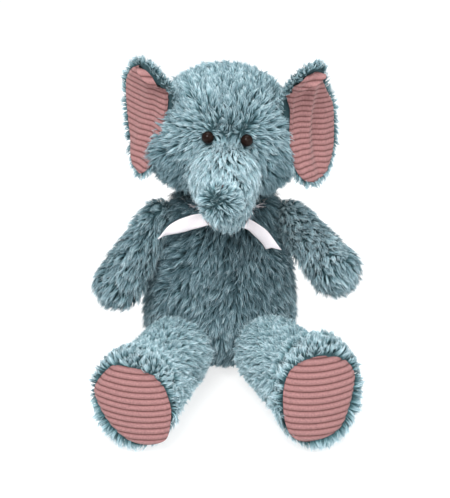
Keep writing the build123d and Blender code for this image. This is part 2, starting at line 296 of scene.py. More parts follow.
def pushed_in(mesh, centre, radius):
    """Makes room for a ball: points inside it go in along their normals to its far side."""
    points, normals = points_of(mesh), normals_of(mesh)
    rel = points - centre
    inside = np.linalg.norm(rel, axis=1) < radius
    b = np.einsum("ij,ij->i", rel, -normals)
    c = np.einsum("ij,ij->i", rel, rel) - radius * radius
    depth = -b + np.sqrt(np.maximum(b * b - c, 0))
    points[inside] -= (normals * depth[:, None])[inside]
    set_points(mesh, points)


# ---- materials ----------------------------------------------------------------------------
def material(name, **values):
    m = bpy.data.materials.new(name)
    m.use_nodes = True
    shader = m.node_tree.nodes["Principled BSDF"]
    for key, value in values.items():
        shader.inputs[key.replace("_", " ")].default_value = value
    return m, m.node_tree.nodes, m.node_tree.links, shader


def times(nodes, links, first, second):
    """A colour that is the product of two."""
    mix = nodes.new("ShaderNodeMix")
    mix.data_type = "RGBA"
    mix.blend_type = "MULTIPLY"
    mix.inputs["Factor"].default_value = 1.0
    links.new(first, mix.inputs[6])
    links.new(second, mix.inputs[7])
    return mix.outputs[2]


def noise_ramp(nodes, links, scale, stops, detail=None):
    """A noise and the colours that it is turned into."""
    noise = nodes.new("ShaderNodeTexNoise")
    noise.inputs["Scale"].default_value = scale
    if detail is not None:
        noise.inputs["Detail"].default_value = detail
    colour = ramp(nodes, stops)
    links.new(noise.outputs[0], colour.inputs[0])
    return noise, colour.outputs[0]


def bumped(nodes, links, shader, height, strength, distance):
    bump = nodes.new("ShaderNodeBump")
    bump.inputs["Strength"].default_value = strength
    bump.inputs["Distance"].default_value = distance
    links.new(height, bump.inputs["Height"])
    links.new(bump.outputs[0], shader.inputs["Normal"])


def ramp(nodes, stops):
    node = nodes.new("ShaderNodeValToRGB")
    elements = node.color_ramp.elements
    while len(elements) > 1:
        elements.remove(elements[-1])
    elements[0].position, elements[0].color = stops[0][0], (*stops[0][1], 1)
    for position, colour in stops[1:]:
        elements.new(position).color = (*colour, 1)
    return node


def plush_material():
    """Strands: dark roots, as painted shade deep in the pile, and pale tips, as painted sheen, along V;
    across U each strand's own random brightness and the painted light and shade of its place.
    """
    m, nodes, links, shader = material(
        "plush_pile", Roughness=0.75, Sheen_Weight=0.35, Sheen_Roughness=0.35, Specular_IOR_Level=0.25
    )
    shader.inputs["Sheen Tint"].default_value = (0.75, 0.92, 0.95, 1)
    uv = nodes.new("ShaderNodeUVMap")
    uv.uv_map = "OFBake"
    split = nodes.new("ShaderNodeSeparateXYZ")
    # painted shade: near black at the roots, where the pile is in shade; painted sheen: pale at the tips
    along = ramp(nodes, [(0.0, (0.012, 0.035, 0.042)), (0.3, (0.05, 0.12, 0.14)),
                         (0.65, (0.195, 0.315, 0.36)), (1.0, (0.43, 0.56, 0.61))])
    # each strand's random brightness, and painted light and shade: low for places in shade, high for lit ones
    tone = ramp(nodes, [(0.0, (0.24, 0.30, 0.32)), (0.25, (0.50, 0.56, 0.58)), (0.5, (1.0, 1.0, 1.0)),
                        (1.0, (2.3, 2.0, 1.92))])
    links.new(uv.outputs[0], split.inputs[0])
    links.new(split.outputs["Y"], along.inputs[0])
    links.new(split.outputs["X"], tone.inputs[0])
    links.new(times(nodes, links, along.outputs[0], tone.outputs[0]), shader.inputs["Base Color"])
    return m


def corduroy_material():
    """Pink wales, one for each unit of V, with painted shade in the grooves and painted light on the wales'
    tops, a fine nap, and paler and deeper patches.
    """
    m, nodes, links, shader = material("corduroy_pink", Roughness=0.9, Sheen_Weight=0.25, Sheen_Roughness=0.4)
    shader.inputs["Sheen Tint"].default_value = (1.0, 0.8, 0.78, 1)
    uv = nodes.new("ShaderNodeUVMap")
    uv.uv_map = "wales"
    split = nodes.new("ShaderNodeSeparateXYZ")
    fraction = nodes.new("ShaderNodeMath")
    fraction.operation = "FRACT"
    # painted shade: dark in the groove at each end of a wale; painted light: palest a little past its middle,
    # as if lit from one side
    wale = ramp(nodes, [
        (0.0, (0.075, 0.025, 0.025)), (0.08, (0.18, 0.075, 0.073)), (0.2, (0.28, 0.14, 0.137)),
        (0.6, (0.36, 0.19, 0.187)), (0.82, (0.31, 0.155, 0.152)), (0.94, (0.18, 0.08, 0.078)),
        (1.0, (0.075, 0.025, 0.025)),
    ])
    links.new(uv.outputs[0], split.inputs[0])
    links.new(split.outputs["Y"], fraction.inputs[0])
    links.new(fraction.outputs[0], wale.inputs[0])
    noise, speckle = noise_ramp(
        nodes, links, 1400.0, [(0.3, (0.82, 0.82, 0.82)), (0.7, (1.12, 1.10, 1.10))], detail=3.0
    )
    _, cloud = noise_ramp(nodes, links, 45.0, [(0.3, (0.78, 0.75, 0.75)), (0.7, (1.12, 1.08, 1.08))])
    speckled = times(nodes, links, wale.outputs[0], speckle)
    links.new(times(nodes, links, speckled, cloud), shader.inputs["Base Color"])
    bumped(nodes, links, shader, noise.outputs[0], 0.5, 0.0006)
    return m


def satin_material():
    m, nodes, links, shader = material(
        "satin_ribbon", Roughness=0.34, Sheen_Weight=0.3, Specular_IOR_Level=0.6, Anisotropic=0.5
    )
    wave = nodes.new("ShaderNodeTexWave")
    wave.inputs["Scale"].default_value = 900.0
    wave.inputs["Distortion"].default_value = 1.0
    colour = ramp(nodes, [(0.2, (0.76, 0.70, 0.74)), (0.8, (0.88, 0.84, 0.87))])
    links.new(wave.outputs[0], colour.inputs[0])
    links.new(colour.outputs[0], shader.inputs["Base Color"])
    bumped(nodes, links, shader, wave.outputs[0], 0.12, 0.0002)
    return m


def plain_material(name, low, high, scale, low_at=0.3, high_at=0.7, **values):
    """One colour with a slight noise in it."""
    m, nodes, links, shader = material(name, **values)
    _, colour = noise_ramp(nodes, links, scale, [(low_at, low), (high_at, high)])
    links.new(colour, shader.inputs["Base Color"])
    return m


PLUSH = plush_material()
# the cloth under the pile is painted near black, as the shade deep among the strands' roots
BACKING_PAINTED_SHADE = plain_material("plush_backing_painted_shade", (0.010, 0.030, 0.036), (0.035, 0.085, 0.10), 260.0, Roughness=0.95)
CORDUROY = corduroy_material()
SATIN = satin_material()
EYE = plain_material(
    "eye_dark_plastic", (0.006, 0.003, 0.002), (0.016, 0.007, 0.005), 90.0, high_at=0.8,
    Roughness=0.05, Coat_Weight=0.0, Coat_Roughness=0.03, Specular_IOR_Level=0.11,
)
FILLING = plain_material("polyester_filling", (0.75, 0.75, 0.72), (0.9, 0.9, 0.88), 120.0, Roughness=0.95)
WASHER = plain_material("washer_plastic", (0.6, 0.6, 0.58), (0.72, 0.72, 0.7), 60.0, Roughness=0.5)
SEAM_CLOTH = plain_material("seam_cloth", (0.05, 0.11, 0.13), (0.09, 0.17, 0.19), 300.0, Roughness=0.95)


def corduroy_piece(name, body, node, mesh, uvs):
    """Links a corduroy cloth whose wales follow V, in place of a CAD node."""
    layer = mesh.uv_layers.new(name="wales")
    corner = np.zeros(len(mesh.loops), int)
    mesh.loops.foreach_get("vertex_index", corner)
    layer.uv.foreach_set("vector", np.asarray(uvs)[corner].ravel())
    mesh.materials.append(CORDUROY)
    piece = link(name, mesh, body)
    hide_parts(node)
    return piece


def wale_ridge(phase):
    """The height of a wale across it, 0 in the groove and 1 on top."""
    return np.abs(np.sin(math.pi * phase)) ** 0.55


# ---- pile ---------------------------------------------------------------------------------
STRAND_DENSITY = 0.72  # strands on each square millimetre
TUFT_SIZE = 8  # strands in a tuft, on average
STRAND_WIDTH = 0.86
STRAND_POINTS = 5  # two at the root, two in the middle, one at the tip
STRAND_LOOPS = 7  # of a quad and a triangle
ROOT_DEPTH = 0.6  # of the strands' roots in the cloth
MIDDLE_SHARE = 0.52  # of a strand's length, where its middle is
DROOP = 0.10  # of a strand's length, by its own weight
LIFT_SPREAD = 12  # degrees
SIDE_SPREAD = 0.38  # of the tufts, about the nap
waves = np.random.default_rng(5)
WAVE_VECTORS = waves.normal(size=(3, 6, 3)) * np.array([0.02, 0.028, 0.04, 0.055, 0.07, 0.1])[None, :, None]
WAVE_PHASES = waves.uniform(0, 2 * math.pi, size=(3, 6))


def drift(points):
    """Three smooth random values at each point, each about -1 to 1."""
    out = []
    for k in range(3):
        angle = points @ WAVE_VECTORS[k].T + WAVE_PHASES[k]
        out.append(np.sin(angle).mean(axis=1) * 1.6)
    return np.column_stack(out)


def scatter(mesh, per_mm2, rng, keep=None):
    """Random points on a mesh with smooth normals, spread evenly over its area."""
    mesh.calc_loop_triangles()
    corners = np.zeros(len(mesh.loop_triangles) * 3, int)
    mesh.loop_triangles.foreach_get("vertices", corners)
    corners = corners.reshape(-1, 3)
    points, normals = points_of(mesh), normals_of(mesh)
    a, b, c = (points[corners[:, i]] for i in range(3))
    area = np.linalg.norm(np.cross(b - a, c - a), axis=1) / 2
    if keep is not None:
        area = area * keep((a + b + c) / 3)
    count = int(area.sum() * per_mm2)
    chosen = rng.choice(len(area), size=count, p=area / area.sum())
    u, v = rng.random(count), rng.random(count)
    over = u + v > 1
    u[over], v[over] = 1 - u[over], 1 - v[over]
    w = np.column_stack((1 - u - v, u, v))
    tri = corners[chosen]
    spots = sum(points[tri[:, i]] * w[:, i : i + 1] for i in range(3))
    facing = unit(sum(normals[tri[:, i]] * w[:, i : i + 1] for i in range(3)))
    return spots, facing


def nearest(centres, spots):
    tree = kdtree.KDTree(len(centres))
    for i, c in enumerate(centres.tolist()):
        tree.insert(c, i)
    tree.balance()
    find = tree.find
    return np.array([find(p)[1] for p in spots.tolist()])


def leaning(spots, facing, nap, lift, swirl):
    """Unit directions: the nap laid on the surface, turned by the drift, raised by the lift."""
    flow = nap(spots)
    flow = flow - facing * np.einsum("ij,ij->i", flow, facing)[:, None]
    flow = unit(flow)
    across = np.cross(facing, flow)
    angle = drift(spots)[:, 0] * swirl
    flow = flow * np.cos(angle)[:, None] + across * np.sin(angle)[:, None]
    return unit(flow * np.cos(lift)[:, None] + facing * np.sin(lift)[:, None])


def pile(name, body, mesh, nap, length=15.0, lift=42.0, swirl=0.5, tone=0.5, seed=1, keep=None,
         density=1.0, floor=0.4, speckle=0.11):
    """Long pile on a cloth form: tapered strands that gather into tufts along the nap.

    The length, the lift in degrees and the brightness, which carries painted light and shade, may be numbers
    or depend on the place.
    """
    rng = np.random.default_rng(seed)
    per_mm2 = STRAND_DENSITY * density * 1.0
    spots, facing = scatter(mesh, per_mm2, rng, keep)
    n = len(spots)
    heads = rng.choice(n, size=max(2, n // TUFT_SIZE), replace=False)
    owner = nearest(spots[heads], spots)
    m = len(heads)
    reach = length(spots) if callable(length) else np.full(n, length)
    tuft_reach = reach[heads] * rng.uniform(0.75, 1.15, m)
    raised = lift(spots) if callable(lift) else np.full(n, float(lift))
    tuft_lift = np.radians(raised[heads] + rng.normal(0, LIFT_SPREAD, m))
    tuft_dir = leaning(spots[heads], facing[heads], nap, tuft_lift, swirl)
    side = unit(np.cross(facing[heads], tuft_dir))
    tuft_dir = unit(tuft_dir + side * rng.normal(0, SIDE_SPREAD, m)[:, None])
    own_lift = np.radians(raised + rng.normal(0, LIFT_SPREAD, n))
    own_dir = leaning(spots, facing, nap, own_lift, swirl)
    own_dir = unit(own_dir * 0.45 + tuft_dir[owner] * 0.75 + rng.normal(0, 0.14, (n, 3)))
    own_reach = tuft_reach[owner] * rng.uniform(0.72, 1.08, n)
    gather = rng.uniform(0.15, 0.75, n)[:, None]
    tuft_tip = spots[heads] + tuft_dir * tuft_reach[:, None]
    tip = spots + own_dir * own_reach[:, None]
    gathered_tip = tuft_tip[owner] + own_dir * (own_reach - tuft_reach[owner])[:, None]
    tip = tip * (1 - gather) + gathered_tip * gather
    droop = np.array((0, 0, -1.0)) * (own_reach * DROOP)[:, None]
    tip = tip + droop
    rise = unit(own_dir + facing * 0.55)
    middle = spots + rise * (own_reach * MIDDLE_SHARE)[:, None]
    tuft_rise = unit(tuft_dir + facing[heads] * 0.5)
    tuft_middle = spots[heads] + tuft_rise * (tuft_reach * MIDDLE_SHARE)[:, None]
    middle = middle * (1 - gather * 0.4) + tuft_middle[owner] * gather * 0.4
    outward = unit(facing - own_dir * np.einsum("ij,ij->i", facing, own_dir)[:, None])
    across = np.cross(own_dir, outward)
    twist = rng.normal(0, 0.6, n)[:, None]
    across = across * np.cos(twist) + outward * np.sin(twist)
    wide = STRAND_WIDTH * rng.uniform(0.6, 1.25, n)[:, None] / 2
    root = spots - facing * ROOT_DEPTH
    points = np.stack((root - across * wide, root + across * wide,
                       middle - across * wide * 0.85, middle + across * wide * 0.85, tip), axis=1)
    points[:, :, 2] = np.maximum(points[:, :, 2], floor)
    flat = points.reshape(-1, 3) * MM
    loops = (np.arange(n)[:, None] * STRAND_POINTS + np.array([0, 1, 3, 2, 2, 3, 4])).ravel()
    starts = (np.arange(n)[:, None] * STRAND_LOOPS + np.array([0, 4])).ravel()
    fur = bpy.data.meshes.new(name)
    fur.vertices.add(n * STRAND_POINTS)
    fur.vertices.foreach_set("co", flat.ravel())
    fur.loops.add(n * STRAND_LOOPS)
    fur.loops.foreach_set("vertex_index", loops)
    fur.polygons.add(n * 2)
    fur.polygons.foreach_set("loop_start", starts)
    fur.polygons.foreach_set("use_smooth", np.ones(n * 2, bool))
    fur.update(calc_edges=True)
    # the place's brightness, with its painted light and shade
    shade = tone(spots) if callable(tone) else np.full(n, tone)
    spread = rng.normal(0, speckle, m)[owner] + rng.normal(0, speckle, n) + drift(spots)[:, 1] * 0.10
    u = np.clip(shade + spread, 0.02, 0.98)
    uv = np.empty((n, STRAND_LOOPS, 2))
    uv[:, :, 0] = u[:, None]
    uv[:, :, 1] = np.array([0.02, 0.02, 0.5, 0.5, 0.5, 0.5, 0.98])
    layer = fur.uv_layers.new(name="OFBake")
    layer.uv.foreach_set("vector", uv.ravel())
    fur.materials.append(PLUSH)
    return link(name, fur, body)


def skin_piece(name, body, mesh, nodes):
    """Links the cloth under a pile, in place of CAD nodes."""
    mesh.materials.append(BACKING_PAINTED_SHADE)
    piece = link(name, mesh, body)
    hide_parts(*nodes)


def away(source):
    """Nap that runs away from a point."""
    source = np.asarray(source, float)
    return lambda p: p - source


def steady(direction):
    """Nap that runs one way everywhere."""
    direction = np.asarray(direction, float)
    return lambda p: np.broadcast_to(direction, p.shape).copy()


# ---- torso --------------------------------------------------------------------------------
torso = stuffed("torso_skin", [torso_lathe(PILE_INSET)], voxel=5.0, smooth=6, pressure=3.0, cap=3.0)
for side in SIDES:
    pushed_in(torso, HIP[side], HIP_ROOM)
    pushed_in(torso, SHOULDER[side], SHOULDER_ROOM)
pushed_in(torso, NECK, NECK_ROOM)
skin_piece("torso_skin", "torso", torso, ("torso_left_panel", "torso_right_panel"))
TORSO_SPLIT = -4.0  # where the front's pile meets the back's


def torso_front(p):
    return (p[:, 1] < TORSO_SPLIT).astype(float)


def torso_back(p):
    return (p[:, 1] >= TORSO_SPLIT).astype(float)


def torso_tone(p):
    """Painted shade: deep all over, as the torso is in the head's shade, and deepest under the chin, where
    the head's shadow falls.
    """
    return np.interp(p[:, 2], (90, 190), (0.33, 0.13))


def torso_length(p):
    """Short under the seat, where the elephant sits on it, and long over the shoulders."""
    shoulder = np.clip((p[:, 2] - 185) / 20, 0, 1) * np.clip((np.abs(p[:, 0]) - 25) / 15, 0, 1)
    return np.interp(p[:, 2], (8, 45), (7.0, 15.0)) + 7.0 * shoulder


def torso_nap(p):
    """Down the body, and outwards over the shoulders."""
    top = np.clip((p[:, 2] - 185) / 20, 0, 1)
    outward, forward = p[:, 0] * (0.25 + 1.6 * top), (p[:, 1] + 5) * (0.25 + top)
    return np.column_stack((outward, forward, np.full(len(p), -60.0)))


pile("torso_pile_front", "torso", torso, torso_nap, tone=torso_tone, seed=11, keep=torso_front,
     swirl=0.9, lift=45, speckle=0.17, length=torso_length)
pile("torso_pile_back", "torso", torso, torso_nap, tone=torso_tone, seed=12, keep=torso_back, swirl=0.7,
     lift=42, speckle=0.17, length=torso_length)

# ---- head ---------------------------------------------------------------------------------
roll = np.array([[math.cos(HEAD_ROLL), 0, math.sin(HEAD_ROLL)], [0, 1, 0],
                 [-math.sin(HEAD_ROLL), 0, math.cos(HEAD_ROLL)]])
head = stuffed(
    "head_skin",
    [
        ball(HEAD, HEAD_RADII - np.array((4.5, PILE_INSET, PILE_INSET)), roll, 20, 36),
        ball(from_head((1.5, -42, -20)), (39, 36, 33), roll),
        ball(from_head((-31, -14, -22)), (50, 44, 38), roll),
        ball(from_head((28, -14, -22)), (50, 44, 38), roll),
    ],
    voxel=4.5, smooth=8, pressure=3.0, cap=2.5,
)
pushed_in(head, NECK, NECK_ROOM)
skin_piece("head_skin", "head", head, ("head_cover",))
bridge = from_head((1.5, -70, 17))
EYES = [from_head((x, -70.0, 13.0)) for x in (-19.5, 22.5)]
HEAD_SPLIT = -22.0  # where the face's pile meets the back's
EYE_CLEAR = 9.0  # no pile this near to the middle of an eye


def eye_distance(p):
    return np.min([np.linalg.norm(p - e, axis=1) for e in EYES], axis=0)


def face_length(p):
    """Short round the eyes."""
    return np.interp(eye_distance(p), (8, 26), (8.0, 15.0))


def face_nap(p):
    """Away from a parting that runs between the eyes."""
    near = np.tile(bridge + np.array((0, 14.0, 0)), (len(p), 1))
    near[:, 0] += np.clip(p[:, 0] - bridge[0], -15, 15)
    return p - near


def face_tone(p):
    """Painted light and shade: pale on the brow and the bridge, which face the light, and deeper on the lower
    cheeks, which are in shade.
    """
    cheek = np.clip((np.abs(p[:, 0] - 3) - 22) / 20, 0, 1) * np.clip((300 - p[:, 2]) / 25, 0, 1)
    return 0.64 - 0.34 * cheek


def face_front(p):
    return ((p[:, 1] < HEAD_SPLIT) & (eye_distance(p) > EYE_CLEAR)).astype(float)


def face_back(p):
    return (p[:, 1] >= HEAD_SPLIT).astype(float)


def face_lift(p):
    """Higher at the parting."""
    return np.interp(np.linalg.norm(p - bridge, axis=1), (6, 24), (50, 36))


pile("head_pile_front", "head", head, face_nap, tone=face_tone, seed=21, keep=face_front, swirl=0.35,
     lift=face_lift, length=face_length)
pile("head_pile_back", "head", head, away(bridge), tone=0.55, seed=22, keep=face_back, swirl=0.5, lift=40)

# ---- ears ---------------------------------------------------------------------------------
EAR_ROOT = {"right": np.array((-57.0, -56.5, 12.0)), "left": np.array((60.0, -56.5, 21.0))}
EAR_ANGLE = {"right": math.radians(45), "left": math.radians(41)}
EAR_MIDDLE = np.array((42.0, 0.0))  # along and up from the root
EAR_CUP = 140.0  # radius of the cupped leaf
EAR_DEEP = -6.0
EAR_TUCK = 20.0  # how far the ear's inner side goes back behind the cheek
EAR_TUCK_FROM = 40.0
EAR_TUCK_TOP = (60.0, 20.0)  # the tuck fades out up to the first height, over the second
# the lining's edge, from the ear's root along it and up it
LINING_EDGE = {
    "right": [(9, 40), (12, 48), (22, 56), (34, 61), (48, 61), (62, 54), (73, 41), (77, 22), (75, -4),
              (68, -26), (59, -46), (47, -57), (37, -59), (27, -50), (20, -34), (15, -12), (12, 12), (9, 28)],
    "left": [(-8, 50), (-4, 60), (6, 67), (20, 69), (34, 65), (46, 54), (58, 40), (72, 22), (80, 0),
             (81, -24), (73, -48), (58, -61), (42, -62), (28, -54), (19, -36), (14, -12), (8, 14), (-4, 34)],
}
# the two ends of the line that the top inner corner is turned over on
FOLD_LINE = {"right": ((6.0, 40.0), (48.0, 60.0)), "left": ((0.0, 46.0), (40.0, 66.0))}


def ear_axes(side):
    """The ear's own directions: along it from the root, up it, and out of its front."""
    s, a = SIDES[side], EAR_ANGLE[side]
    along = head_turned([(s * math.cos(a), math.sin(a), 0)])[0]
    up = head_turned([(0, 0, 1)])[0]
    front = head_turned([(s * math.sin(a), -math.cos(a), 0)])[0]
    return along, up, front


def ear_point(side, uv, w):
    """A place on the ear: along it, up it, and in front of its cupped middle surface."""
    along, up, front = ear_axes(side)
    r2 = ((uv - EAR_MIDDLE) ** 2).sum(axis=1)
    tucked = EAR_TUCK * np.clip((EAR_TUCK_FROM - uv[:, 0]) / EAR_TUCK_FROM, 0, 1) ** 1.2
    depth = EAR_DEEP + r2 / (2 * EAR_CUP) + w
    top, fade = EAR_TUCK_TOP
    tucked = tucked * np.clip((top - uv[:, 1]) / fade, 0, 1)
    back = tucked[:, None] * np.array((0.0, 1.0, 0.0))
    root = from_head(EAR_ROOT[side][None, :])[0]
    return root + uv[:, :1] * along + uv[:, 1:] * up + depth[:, None] * front + back


def ear_fold(side, uv):
    """How far the lining stands forward where the ear's top inner corner is turned over."""
    start, stop = (np.array(end) for end in FOLD_LINE[side])
    line = stop - start
    length = np.linalg.norm(line)
    line = line / length
    rel = uv - start
    t = np.clip((rel @ line) / length, 0, 1)
    side_of = rel @ np.array((-line[1], line[0]))
    strength = np.sin(math.pi * np.clip(t * 0.9 + 0.08, 0, 1)) ** 0.6
    lip = np.exp(-((side_of - 3.0) / 3.5) ** 2) * 10.0
    crease = np.exp(-((side_of + 4.0) / 2.5) ** 2) * -4.0
    roll = np.clip(side_of / 3.0, 0, 1) * 5.0
    return (lip + roll + crease) * strength


def ear_wrinkle(side, uv):
    """Soft upright creases in the lining."""
    u, v = uv[:, 0], uv[:, 1]
    if side == "left":
        deep = 2.8 * np.sin(u * 0.21 + 0.02 * v) * np.exp(-((v - 5) / 45) ** 2)
        return deep + 0.8 * np.sin(u * 0.35 + v * 0.05)
    deep = 2.0 * np.sin(u * 0.16 - 0.6) * np.exp(-((v + 25) / 35) ** 2)
    return deep + 0.5 * np.sin(u * 0.3 + v * 0.04)


WALE_PITCH = 6.3
LINING_HEIGHT = 3.0  # in front of the cupped middle surface
WALE_HEIGHT = 1.2


def ear_lining(side):
    rings, around = 56, 150
    edge = smooth_loop(LINING_EDGE[side], around)
    middle = edge.mean(axis=0)
    uv = [middle]
    for i in range(1, rings + 1):
        uv += list(middle + (edge - middle) * (i / rings))
    uv = np.array(uv)
    u, v = uv[:, 0], uv[:, 1]
    phase = (v + 2.2 * np.sin(u * 0.055 + 0.6) + 1.1 * np.sin(u * 0.13 + v * 0.03)) / WALE_PITCH
    ring_share = np.concatenate(([0.0], np.repeat(np.arange(1, rings + 1) / rings, around)))
    turned_in = -3.0 * np.clip((ring_share - 0.93) / 0.07, 0, 1)
    w = LINING_HEIGHT + WALE_HEIGHT * wale_ridge(phase) + turned_in
    w = w + ear_fold(side, uv) + ear_wrinkle(side, uv)
    mesh = mesh_of(f"{side}_ear_lining_cloth", ear_point(side, uv, w), disc_faces(rings, around))
    corduroy_piece(f"{side}_ear_lining_cloth", f"{side}_ear", f"{side}_ear_lining",
                   faced(mesh, ear_axes(side)[2]), np.column_stack((u / 40.0, phase)))


def ear_back(side):
    """A thin padded leaf a little larger than the lining, with pile on its back and its rim."""
    rings, around = 14, 72
    edge = smooth_loop(LINING_EDGE[side], around)
    middle = edge.mean(axis=0)
    out = unit(edge - middle)
    bearing = np.arctan2(out[:, 1], out[:, 0])
    border = 2.0 + 0.5 * np.maximum(np.sin(bearing), 0) + 7.0 * np.maximum(np.cos(bearing - 2.4), 0) ** 2
    edge = edge + out * border[:, None]
    shares = np.arange(rings + 1) / rings
    leaf_uv = np.vstack([middle + (edge - middle) * share for share in (*shares, *shares[::-1])])
    front = np.where(shares < 0.98, -1.5, -2.0)
    back = -3.0 - 3.0 * (1 - shares[::-1] ** 2)
    w = np.repeat(np.concatenate((front, back)), around) + ear_fold(side, leaf_uv) * 0.9
    leaf = ear_point(side, leaf_uv, w)
    faces = grid_faces(2 * (rings + 1), around, True)
    if side == "right":
        faces = [f[::-1] for f in faces]
    skin_piece(f"{side}_ear_skin", f"{side}_ear", mesh_of(f"{side}_ear_skin", leaf, faces),
               (f"{side}_ear_back",))
    coat = mesh_of(f"{side}_ear_coat", leaf, [f for f in faces if min(f) >= (rings - 1) * around])
    along, up, _ = ear_axes(side)
    centre = ear_point(side, middle[None, :], np.array([0.0]))[0]

    def ear_nap(p):
        rel = p - centre
        return (rel @ along)[:, None] * along + (rel @ up)[:, None] * up + along * 14

    pile(f"{side}_ear_pile", f"{side}_ear", coat, ear_nap, tone=0.74, seed=61 + (side == "left"),
         swirl=0.3, lift=28, length=11.0)


for side in SIDES:
    ear_lining(side)
    ear_back(side)

# ---- trunk --------------------------------------------------------------------------------
root, bend, end = (from_head(p) for p in (TRUNK_ROOT, TRUNK_BEND, TRUNK_END))
TRUNK_UNDER = head_turned([(0, 0.6, -0.8)])[0]
TIP_UNDER = head_turned([(0, 0.75, 0.66)])[0]


def trunk_part(stem, body, start, r0, stop, r1, under, nap, turn, rise, bare, **look):
    """A stretch of trunk: plush on its upper side and corduroy on the side that faces under.

    The lining turns that many degrees to each side and rises over the cloth; the pile stops
    where bare says, as a share of the radius at the start and at the stop.
    """
    form = stuffed(f"{stem}_skin", string_of_balls(start, r0, stop, r1), voxel=2.6, smooth=4)
    skin_piece(f"{stem}_skin", body, form, (f"{stem}_cover",))
    middle, along = (start + stop) / 2, unit(stop - start)
    side = np.cross(along, under)
    reach = np.linalg.norm(stop - start)

    def off_lining(p):
        share = ((p - start) @ along) / reach
        return ((p - middle) @ under < r0 * np.interp(share, (0.3, 0.9), bare)).astype(float)

    pile(f"{stem}_pile", body, form, nap, keep=off_lining, **look)
    rows, columns, wales = 30, 61, 14
    points, uvs = [], []
    for i in range(rows):
        t = i / (rows - 1)
        place = -r0 * 0.75 + t * (reach + r0 * 0.75 + r1 * 0.75)
        share = np.clip(place / reach, 0, 1)
        wide = r0 + (r1 - r0) * share
        past = max(-place, place - reach, 0.0)
        wide = math.sqrt(max(wide * wide - past * past, 1.0)) + rise
        for j in range(columns):
            q = math.radians(turn * (2 * j / (columns - 1) - 1))
            wale = (j / (columns - 1)) * wales
            r = wide + wale_ridge(wale)
            points.append(start + along * place + (under * math.cos(q) + side * math.sin(q)) * r)
            uvs.append((t, wale))
    mesh = mesh_of(f"{stem}_lining_cloth", points, grid_faces(rows, columns, False))
    corduroy_piece(f"{stem}_lining_cloth", body, f"{stem}_lining", faced(mesh, under), uvs)


def trunk_nap(p):
    """Down from the bridge, fanning to both sides."""
    return p - (bridge + np.array((0, 25.0, 22.0)))


def trunk_tone(p):
    """Pale on top, where the light falls."""
    return np.interp(p[:, 2], (240, 288), (0.56, 0.86))


def trunk_length(p):
    """Shorter towards the bend."""
    return np.interp((p - root) @ unit(bend - root), (10, 50), (15.0, 10.5))


trunk_part("trunk", "trunk", root, 32.0, bend, 21.0, TRUNK_UNDER, trunk_nap, 88, 4.5, (0.28, -0.12),
           tone=trunk_tone, seed=31, swirl=0.3, lift=24, length=trunk_length, density=1.5)
whorl = end + np.array((-4.0, -16.0, -4.0))


def tip_lift(p):
    """The strands stand up at the whorl on the trunk's end."""
    return np.interp(np.linalg.norm(p - whorl, axis=1), (8, 26), (84, 44))


trunk_part("trunk_tip", "trunk_tip", bend, 14.5, end, 16.0, TIP_UNDER, away(whorl), 40, 0.5, (0.6, 0.6),
           tone=0.70, seed=32, swirl=0.6, lift=tip_lift, length=11.5, density=1.4, speckle=0.15)

# ---- arms ---------------------------------------------------------------------------------
for side in SIDES:
    arm = stuffed(f"{side}_arm_skin", string_of_balls(SHOULDER[side], 14.5, HAND[side], 22.5), voxel=3.5,
                  smooth=4, pressure=2.0, cap=1.5)
    skin_piece(f"{side}_arm_skin", f"{side}_arm", arm, (f"{side}_arm_cover",))
    down_arm = HAND[side] - SHOULDER[side]

    def arm_length(p, side=side, down_arm=unit(down_arm)):
        """Short at the shoulder, where the arm turns against the torso."""
        return np.interp((p - SHOULDER[side]) @ down_arm, (-14, 4), (8.0, 15.0))

    pile(f"{side}_arm_pile", f"{side}_arm", arm, steady(down_arm), tone=0.53, length=arm_length,
         seed=41 + (side == "left"), swirl=0.5, lift=40, speckle=0.14)

# ---- legs ---------------------------------------------------------------------------------
def foot_axes(side):
    """The foot's sideways, upwards and outwards directions; outwards is the way the sole faces."""
    t, q = FOOT_TURN[side], math.pi / 2 - FOOT_TILT
    turn = np.array([[math.cos(t), -math.sin(t), 0], [math.sin(t), math.cos(t), 0], [0, 0, 1]])
    tilt = np.array([[1, 0, 0], [0, math.cos(q), -math.sin(q)], [0, math.sin(q), math.cos(q)]])
    m = turn @ tilt
    return m[:, 0], m[:, 1], m[:, 2]


PAD_WALES = 13
PAD_RIDGE = 1.5
PAD_DOME = 3.5  # how far the stuffing pushes the pad's middle out
PAD_FACE = 6.0  # from the foot's front plane back to the pad's edge
WALE_SAG = 5.0  # the wales hang lower at their middles
WALE_SLOPE = {"right": -0.02, "left": 0.05}
PAD_EDGE = {
    "right": [(-43, 15), (-27, 38), (-11, 43), (14, 39), (31, 26), (39, 9), (42, -5), (40, -28), (33, -38),
              (14, -44), (-8, -39), (-27, -23), (-40, -2)],
    "left": [(-42, -2), (-40, 19), (-31, 37), (-12, 47), (10, 47), (29, 38), (39, 24), (39, 8), (31, -19),
             (20, -38), (-1, -46), (-23, -45), (-36, -34), (-41, -18)],
}


def pad_reach(side, a, b):
    """How far a place on the sole is from the pad's middle, as a share of the pad's edge there."""
    edge = smooth_loop(PAD_EDGE[side], 180)
    bearing = np.arctan2(edge[:, 1], edge[:, 0])
    order = np.argsort(bearing)
    reach = np.linalg.norm(edge, axis=1)[order]
    return np.hypot(a, b) / np.interp(np.arctan2(b, a), bearing[order], reach, period=2 * math.pi)


def foot_form(side, inset):
    """A short drum, rounded at the back, that widens the leg's end into a foot."""
    wide, high = (r - inset for r in FOOT_RADII[side])
    x, y, z = foot_axes(side)
    half = FOOT_THICK / 2 - inset
    around, points = 40, []
    profile = [(0.72, -half), (0.93, -half * 0.75), (1.0, -half * 0.2), (1.0, half * 0.3), (0.96, half * 0.8),
               (0.86, half)]
    for scale, height in profile:
        for q in np.linspace(0, 2 * math.pi, around, endpoint=False):
            across = x * wide * scale * math.cos(q) + y * high * scale * math.sin(q)
            points.append(FOOT[side] + across + z * height)
    return np.array(points), closed_tube_faces(len(profile), around)


